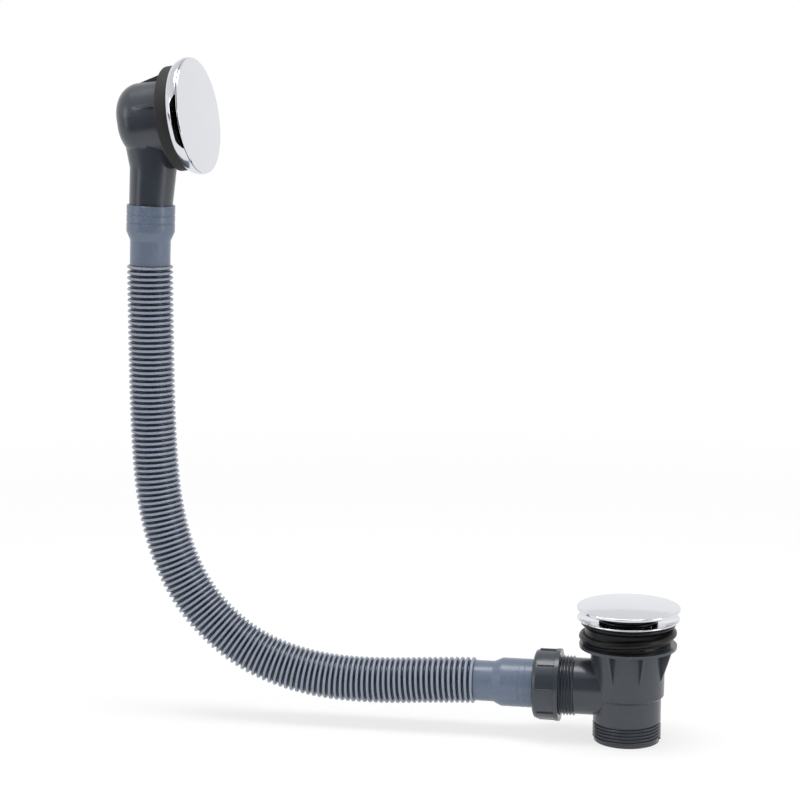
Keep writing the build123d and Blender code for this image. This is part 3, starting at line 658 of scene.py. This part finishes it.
# Plastic body: softened edges, with real threads over slimmer cores
threads = {
    "pitch": 2.309,
    "outlet": {"crest": 23.9, "core": 22.6, "turns": 5, "start": -87.7},
    "inlet": {"crest": 20.95, "core": 19.75, "turns": 9, "start": -58.4},
}
wasteBody = {
    "edge": 0.35, "outletTop": -74.6, "outletReach": 23.75,
    "inletCuts": (-36.9, -36.6), "inletEnd": -36.8, "inletReach": 20.8,
}


def threadOutline(look):
    core, crest, pitch = look["core"], look["crest"], threads["pitch"]
    return [
        (core - 0.3, 0.06 * pitch), (core + 0.05, 0.10 * pitch), (crest - 0.12, 0.40 * pitch),
        (crest, 0.45 * pitch), (crest, 0.55 * pitch), (crest - 0.12, 0.60 * pitch),
        (core + 0.05, 0.90 * pitch), (core - 0.3, 0.94 * pitch),
    ]


def threadPiece(name, look, place):
    piece = helix(name, threadOutline(look), threads["pitch"], look["turns"], place)
    return finishPiece(piece, moulded, "waste", "body_plastic")


def slimCore(piece, look, test, along):
    # draws a thread's zone in from its crests to its core, about the axis that it runs along
    shrink = look["core"] / look["crest"]
    grow = [shrink, shrink, shrink]
    grow["XYZ".index(along)] = 1
    level = axes["inletLevel"] * mm if along == "X" else 0
    pickWhere(piece, test)
    bpy.ops.transform.resize(value=grow, center_override=(0, 0, level))


def bodyPiece():
    look = wasteBody
    piece = copyOfNode("waste_body", "wasteBody")
    editPiece(piece)
    for cut in look["inletCuts"]:
        bpy.ops.mesh.select_all(action="SELECT")
        bpy.ops.mesh.bisect(plane_co=(cut * mm, 0, 0), plane_no=(1, 0, 0))
    top, outside = look["outletTop"] * mm, look["outletReach"] * mm
    slimCore(piece, threads["outlet"], lambda co: co.z < top and math.hypot(co.x, co.y) > outside, "Z")
    end, around, level = look["inletEnd"] * mm, look["inletReach"] * mm, axes["inletLevel"] * mm
    slimCore(
        piece, threads["inlet"],
        lambda co: co.x < end and math.hypot(co.y, co.z - level) > around, "X",
    )
    return smoothFlats(soften(piece, look["edge"]))


finishPiece(bodyPiece(), moulded, "waste", "body_plastic", "waste_body")

threadPiece(
    "outletThread", threads["outlet"], Matrix.Translation((0, 0, threads["outlet"]["start"] * mm))
)
threadPiece(
    "inletThread", threads["inlet"],
    Matrix.Translation((threads["inlet"]["start"] * mm, 0, axes["inletLevel"] * mm))
    @ Matrix.Rotation(math.pi / 2, 4, "Y"),
)

inletNut = {"edge": 0.3}
nut = smoothFlats(soften(copyOfNode("inlet_nut", "inletNut"), inletNut["edge"]))
finishPiece(nut, moulded, "waste", "body_plastic", "inlet_nut")
report("body made")

# Seal with a lip at its top, a wide groove and a thick lower lip that hangs a little askew
seal = {
    "bore": 23.6, "head": -4.8, "foot": -16.3, "neck": (30.2, -4.0),
    "collar": (31.9, -3.6), "collarRound": 1.3,
    "groove": [(31.2, -5.4), (30.5, -6.2), (30.2, -7.0), (30.2, -10.0), (30.5, -10.7)],
    "lip": (31.7, -12.2), "lipRound": 2.4,
    "heel": [(31.6, -15.2), (31.6, -16.0), (31.3, -16.3)],
    "lean": 3.2, "leanBelow": -7.5,
}


def sealPiece():
    look = seal
    outline = [(look["bore"], look["foot"]), (look["bore"], look["head"]), look["neck"]]
    outline += arc(look["collar"], look["collarRound"], 130, -70, 9) + look["groove"]
    outline += arc(look["lip"], look["lipRound"], 92, -80, 12) + look["heel"]
    piece = turned("lipSeal", outline)
    editPiece(piece)
    pickWhere(piece, lambda co: co.z < look["leanBelow"] * mm)
    bpy.ops.transform.rotate(
        value=math.radians(look["lean"]), orient_axis="Y", center_override=(0, 0, look["foot"] * mm)
    )
    bpy.ops.object.mode_set(mode="OBJECT")
    return smooth(piece, 40)


finishPiece(sealPiece(), rubber, "waste", "rubber", "upper_seal")

# Chrome flange: a shallow dish with a thin rim, on the tail and grid of its solid
dish = {
    "split": -7.0, "tail": 22.2, "tailTop": -4.1, "bore": 20.6, "boreTop": -4.4,
    "foot": (31.0, -2.6), "floor": (25.8, -1.85), "floorEnd": (34.2, -0.75),
    "rim": 35.75, "edge": 0.6, "inner": (34.9, -0.35), "innerRound": 0.35,
}


def flangePiece():
    look = dish
    split = look["split"]
    flange = copyOfNode("waste_flange", "wasteFlange")
    editPiece(flange)
    bpy.ops.mesh.select_all(action="SELECT")
    bpy.ops.mesh.bisect(
        plane_co=(0, 0, split * mm), plane_no=(0, 0, 1), clear_outer=True, use_fill=True
    )
    faceOutwards()
    outline = [(look["bore"], split), (look["bore"], look["boreTop"]), look["floor"], look["floorEnd"]]
    outline += arc(look["inner"], look["innerRound"], 130, 60, 3)
    outline += arc((look["rim"] - look["edge"], -look["edge"]), look["edge"], 80, -80, 8)
    outline += [look["foot"], (look["tail"], look["tailTop"]), (look["tail"], split)]
    rimPiece = turned("flangeDish", outline, 160)
    pickPiece(flange)
    rimPiece.select_set(True)
    bpy.ops.object.join()
    return smooth(flange, 40)


finishPiece(flangePiece(), chrome, "waste", "chrome", "waste_flange")

# Domed cap, with a boss for the stud and a hollow for the carrier beneath
cap = {
    "radius": 36.0, "underside": 5.6, "edge": 2.0, "crown": 1.7, "round": 0.7, "footRound": 0.4,
    "lip": 3.0, "wall": 1.6, "middle": 5.9, "boss": 3.4, "bossBore": 3.15, "bossRadius": 5.4, "seat": 16.0,
}


def capOutline():
    look = cap
    radius, middle, underside = look["radius"], look["middle"], look["underside"]
    rounded, footRound = look["round"], look["footRound"]
    top = underside + look["edge"]
    boss = middle - look["boss"]
    lip = radius - look["lip"]
    outline = [(middleFlat, middle), (look["bossBore"], middle), (look["bossBore"], boss)]
    outline += [(look["bossRadius"], boss), (look["bossRadius"], middle), (look["seat"], middle)]
    outline += [(look["seat"] + 0.05, top + look["crown"] - look["wall"] - 0.3)]
    outline += [(lip - 0.05, top - look["wall"] + 0.3), (lip, underside)]
    outline += arc((radius - footRound, underside + footRound), footRound, -90, 0, 4)
    outline += arc((radius - rounded, top - rounded), rounded, 0, 84, 6)
    return outline + dome(radius - rounded - 0.15, top, look["crown"], 14)


plugCap = turned("plugCap", capOutline(), 160, ring=False)
finishPiece(smooth(plugCap, 35), chrome, "plug", "chrome", "plug_cap")
report("plug made")

# Overflow head: its pieces are turned about the face's own axis, and their levels are along it
head = {"middle": (-303.1, -3.0, 344.5), "tilt": 8.0, "turn": 4.5}


def headPlace():
    tilt, turn = math.radians(head["tilt"]), math.radians(head["turn"])
    outwards = Vector((
        math.cos(tilt) * math.cos(turn), -math.cos(tilt) * math.sin(turn), math.sin(tilt),
    ))
    level = Vector((math.sin(turn), math.cos(turn), 0))
    facing = Matrix((level, outwards.cross(level), outwards)).transposed().to_4x4()
    return Matrix.Translation(Vector(head["middle"]) * mm) @ facing


headAxis = headPlace()

cover = {
    "radius": 40.3, "rear": -1.2, "crown": 1.2, "rearRound": 0.3, "frontRound": 0.6,
    "stub": 6.9, "stubBore": 4.9, "stubFoot": -6.4, "stubGroove": [(6.05, -6.3), (6.05, -5.1)],
}


def coverOutline():
    look = cover
    radius, rear, stub, foot = look["radius"], look["rear"], look["stub"], look["stubFoot"]
    outline = [(middleFlat, rear), (look["stubBore"], rear), (look["stubBore"], foot), (stub, foot)]
    outline += [(stub, foot + 0.05)] + look["stubGroove"] + [(stub, -5.05), (stub, rear)]
    rearRound, frontRound = look["rearRound"], look["frontRound"]
    outline += arc((radius - rearRound, rear + rearRound), rearRound, -90, 0, 3)
    outline += arc((radius - frontRound, -frontRound), frontRound, 0, 84, 6)
    return outline + dome(radius - frontRound - 0.3, 0.0, look["crown"], 12)


frontCover = turned("frontCover", coverOutline(), 160, ring=False, place=headAxis)
finishPiece(smooth(frontCover, 35), chrome, "waste", "chrome", "overflow_cover")

# Ring behind the cover: a curved side with two tapered slots, and a bridge with a hub at its back.
# The slots' start and end are in degrees, and their taper is (degrees from an end, share left)
rosette = {
    "rear": -10.5, "front": -1.6, "land": 1.5, "bore": 26.0,
    "side": [
        (36.9, -10.5), (37.9, -9.7), (38.8, -8.7), (39.5, -7.6), (40.1, -6.3), (40.5, -4.9),
        (40.7, -3.6), (40.7, -2.4), (40.5, -1.9), (40.1, -1.6),
    ],
    "inside": [(39.5, -1.6), (39.3, -1.9), (39.3, -5.2), (38.6, -6.4), (37.4, -7.8), (35.8, -9.0)],
    "slotWidth": 4.3, "slotStart": -31, "slotEnd": 23, "slotMiddle": 38.6, "slotDepth": 6,
    "taper": ((1.2, 0.12), (3.4, 0.55), (5.7, 0.75), (7.9, 0.88)),
    "unshadedFaces": {"radius": 39.9, "rear": -9.9, "rim": 39.0, "rimLevel": -2.5, "side": 36.5, "slope": 0.55},
    "bridgeWidth": 12.0, "bridgeLength": 52.8, "hubCore": 8.9,
    "hub": [
        (2.8, -10.5), (9.0, -10.5), (9.0, -4.9), (8.7, -4.5), (7.5, -4.5), (7.2, -4.9),
        (7.2, -9.0), (2.8, -9.0),
    ],
}


def slotCutter(turnStart, turnEnd):
    look = rosette
    front = look["front"] * mm
    pickNothing()
    bpy.ops.mesh.primitive_plane_add(size=1, rotation=(math.pi / 2, 0, 0))
    cutter = bpy.context.object
    cutter.scale = (look["slotDepth"] * mm, look["slotWidth"] * mm, 1)
    height = look["front"] - look["slotWidth"] / 2 + 0.01
    cutter.location = (look["slotMiddle"] * mm, 0, height * mm)
    bpy.ops.object.transform_apply(location=True, rotation=True, scale=True)
    setInPlace(cutter, Matrix.Rotation(math.radians(turnStart), 4, "Z"))
    bpy.ops.object.mode_set(mode="EDIT")
    bpy.ops.mesh.select_all(action="SELECT")
    sweep = math.radians(turnEnd - turnStart)
    bpy.ops.mesh.spin(steps=24, angle=-sweep, center=(0, 0, 0), axis=(0, 0, 1))
    # the slot narrows to a point at each end
    for reach, narrow in look["taper"]:
        inner = math.cos(math.radians(reach))
        for end in (turnStart, turnEnd):
            along = Vector((math.cos(math.radians(end)), math.sin(math.radians(end))))
            pickWhere(
                cutter,
                lambda co: co.z < front - mm and co.to_2d().normalized().dot(along) > inner,
            )
            bpy.ops.transform.resize(value=(1, 1, narrow), center_override=(0, 0, front))
    faceOutwards()
    return cutter


def cutAway(piece, cutter):
    modify(piece, "BOOLEAN", object=cutter, operation="DIFFERENCE", solver="EXACT")
    bpy.data.objects.remove(cutter)


def markShadedInside(piece):
    # which points lie inside, away from the outer faces that catch the light, so that the finish paints
    # shade on them
    unshadedFaces = rosette["unshadedFaces"]
    inside = piece.data.attributes.new("inside", "FLOAT", "POINT")
    for vertex, shade in zip(piece.data.vertices, inside.data):
        reach, height = math.hypot(vertex.co.x, vertex.co.y) / mm, vertex.co.z / mm
        outer = reach > unshadedFaces["radius"] or height < unshadedFaces["rear"]
        rim = reach > unshadedFaces["rim"] and height > unshadedFaces["rimLevel"]
        side = reach > unshadedFaces["side"] + (height - rosette["rear"]) * unshadedFaces["slope"]
        shade.value = 0.0 if outer or rim or side else 1.0


def bridgeBar():
    look = rosette
    pickNothing()
    bpy.ops.mesh.primitive_cube_add(size=1)
    bar = bpy.context.object
    bar.scale = (look["bridgeWidth"] * mm, look["bridgeLength"] * mm, look["land"] * mm)
    bar.location = (0, 0, (look["rear"] + look["land"] / 2) * mm)
    bpy.ops.object.transform_apply(location=True, rotation=True, scale=True)
    core = [(look["hubCore"], look["rear"] - 0.5), (look["hubCore"], look["rear"] + 2.5)]
    cutAway(bar, turned("rosetteCore", core, 64, ring=False))
    return bar


def rosettePiece():
    look = rosette
    back = [(look["bore"], look["rear"] + look["land"]), (look["bore"], look["rear"])]
    ringPiece = turned("overflowRosette", look["side"] + look["inside"] + back, 240)
    span = look["slotEnd"] - look["slotStart"]
    for turnStart in (look["slotStart"], 180 - look["slotEnd"]):
        cutAway(ringPiece, slotCutter(turnStart, turnStart + span))
    hub = turned("rosetteBridge", look["hub"], 64)
    markShadedInside(ringPiece)
    bar = bridgeBar()
    pickPiece(ringPiece)
    bar.select_set(True)
    hub.select_set(True)
    bpy.ops.object.join()
    return smoothFlats(setInPlace(ringPiece, headAxis), 35)


finishPiece(rosettePiece(), ringChrome, "waste", "chrome", "overflow_rosette")

foamGasket = {
    "outer": 36.5, "inner": 27.0, "rear": -18.4, "front": -10.5, "outerRound": 0.5, "innerRound": 0.4,
}


def gasketOutline():
    look = foamGasket
    rear, front, wide, tight = look["rear"], look["front"], look["outerRound"], look["innerRound"]
    outer, inner = look["outer"] - wide, look["inner"] + tight
    outline = arc((outer, rear + wide), wide, -90, 0, 4) + arc((outer, front - wide), wide, 0, 90, 4)
    outline += arc((inner, front - tight), tight, 90, 180, 3)
    return outline + arc((inner, rear + tight), tight, 180, 270, 3)


gasket = turned("foamGasket", gasketOutline(), place=headAxis)
finishPiece(smooth(gasket, 50), foam, "waste", "foam", "overflow_gasket")

overflowElbow = {"edge": 0.4}
elbow = smoothFlats(soften(copyOfNode("overflow_elbow", "overflowElbow"), overflowElbow["edge"]))
finishPiece(elbow, moulded, "waste", "body_plastic", "overflow_elbow")
report("overflow head made")

# Floor, backdrop and light: the object stands before a pale backdrop under a soft box,
# and the side of the studio where the camera stands is dark. Sizes here are in metres,
# apart from the floor's level
studio = {
    "floor": -88.2,
    "floorSize": 80,
    "floorColour": (0.95, 0.95, 0.95),
    "middle": (-0.17, 0.0, 0.0),
    "ambient": 0.55,
    "overhead": 0.80,
    "cameraSide": 0.03,
    "darkTowards": (0.16, -0.95, 0.27),
    "darkReach": (0.70, 0.86),
    "backdropBreak": (0.31, 0.35),
    "upperBackdrop": 0.86,
    "backdropTop": (0.52, 0.68),
    "paleFront": (-1.1, -0.45),
    "paleNear": 0.70,
    "paleReach": (0.45, 1.30),
}


def shownRays(finish):
    seen = finish.node("LightPath", {}, {}, "Is Camera Ray")
    mirrored = finish.node("LightPath", {}, {}, "Is Glossy Ray")
    through = finish.node("LightPath", {}, {}, "Is Transmission Ray")
    return seen, mirrored, through


def paleFloor():
    pickNothing()
    bpy.ops.mesh.primitive_plane_add(
        size=studio["floorSize"], location=(0, 0, studio["floor"] * mm)
    )
    floor = bpy.context.object
    floor.name = "studioFloor"
    material, finish = newFinish("paleFloor")
    seen, mirrored, through = shownRays(finish)
    away = finish.node(
        "VectorMath", {"operation": "DISTANCE"}, {0: finish.place(), 1: studio["middle"]}, "Value"
    )
    pale = finish.easing(away, studio["paleReach"], studio["paleNear"], 1.0)
    painted = finish.node(
        "BsdfPrincipled", {},
        {"Base Color": studio["floorColour"], "Roughness": 0.7, "Specular IOR Level": 0.1},
    )
    across = finish.node("SeparateXYZ", {}, {0: finish.place()}, 1)
    front = finish.easing(across, studio["paleFront"], studio["cameraSide"], 1.0)
    glow = finish.node(
        "Emission", {}, {"Color": (1.0, 1.0, 1.0), "Strength": 1 - mirrored * (1 - front)}
    )
    glowing = seen.most(mirrored).most(through) * pale
    both = finish.node("MixShader", {}, {0: glowing, 1: painted, 2: glow})
    finish.node("OutputMaterial", {}, {"Surface": both})
    floor.data.materials.append(material)


def paleWorld():
    world = bpy.data.worlds.new("studioWorld")
    world.use_nodes = True
    bpy.context.scene.world = world
    finish = Finish(world.node_tree)
    seen, mirrored, through = shownRays(finish)
    towards = finish.node("TexCoord", {}, {}, "Generated")
    height = finish.node("SeparateXYZ", {}, {0: towards}, 2)
    front = finish.node(
        "VectorMath", {"operation": "DOT_PRODUCT"}, {0: towards, 1: studio["darkTowards"]}, "Value"
    )
    backdrop = finish.easing(height, studio["backdropBreak"], 1.0, studio["upperBackdrop"])
    above = finish.easing(height, studio["backdropTop"], 0.0, 1.0)
    backdrop = backdrop * (1 - above) + studio["overhead"] * above
    dark = finish.easing(front, studio["darkReach"], 0.0, 1.0)
    reflected = backdrop * (1 - dark) + dark * studio["cameraSide"]
    strength = studio["ambient"] + (1 - studio["ambient"]) * seen.most(through)
    strength = strength + (reflected - studio["ambient"]) * mirrored
    background = finish.node("Background", {}, {"Color": (1, 1, 1), "Strength": strength})
    finish.node("OutputWorld", {}, {"Surface": background})


paleFloor()
paleWorld()

# name, place, aim, size, watts, and whether it shows in the chrome
lamps = [
    ("topBox", (-0.17, -0.06, 1.5), (-0.17, 0.0, 0.13), (1.4, 0.6), 16.5, True),
    ("rightBox", (1.35, -0.45, 0.35), (-0.1, 0.0, 0.1), (0.5, 1.1), 5.0, True),
    ("leftBox", (-1.6, -0.8, 0.5), (-0.2, 0.0, 0.2), (0.5, 1.0), 2.5, True),
    ("frontFill", (-0.3, -1.9, 0.9), (-0.17, 0.0, 0.13), (1.6, 1.0), 4.0, False),
]


def boxLamp(name, where, aim, size, power, mirrored):
    pickNothing()
    bpy.ops.object.light_add(type="AREA", location=where)
    lamp = bpy.context.object
    lamp.name = name
    lamp.data.shape = "RECTANGLE"
    lamp.data.size, lamp.data.size_y = size
    lamp.data.energy = power
    lamp.visible_glossy = mirrored
    lamp.rotation_euler = (Vector(aim) - Vector(where)).to_track_quat("-Z", "Y").to_euler()


for lampLook in lamps:
    boxLamp(*lampLook)

bpy.context.scene.view_settings.view_transform = "Standard"
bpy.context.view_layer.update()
report("scene done")
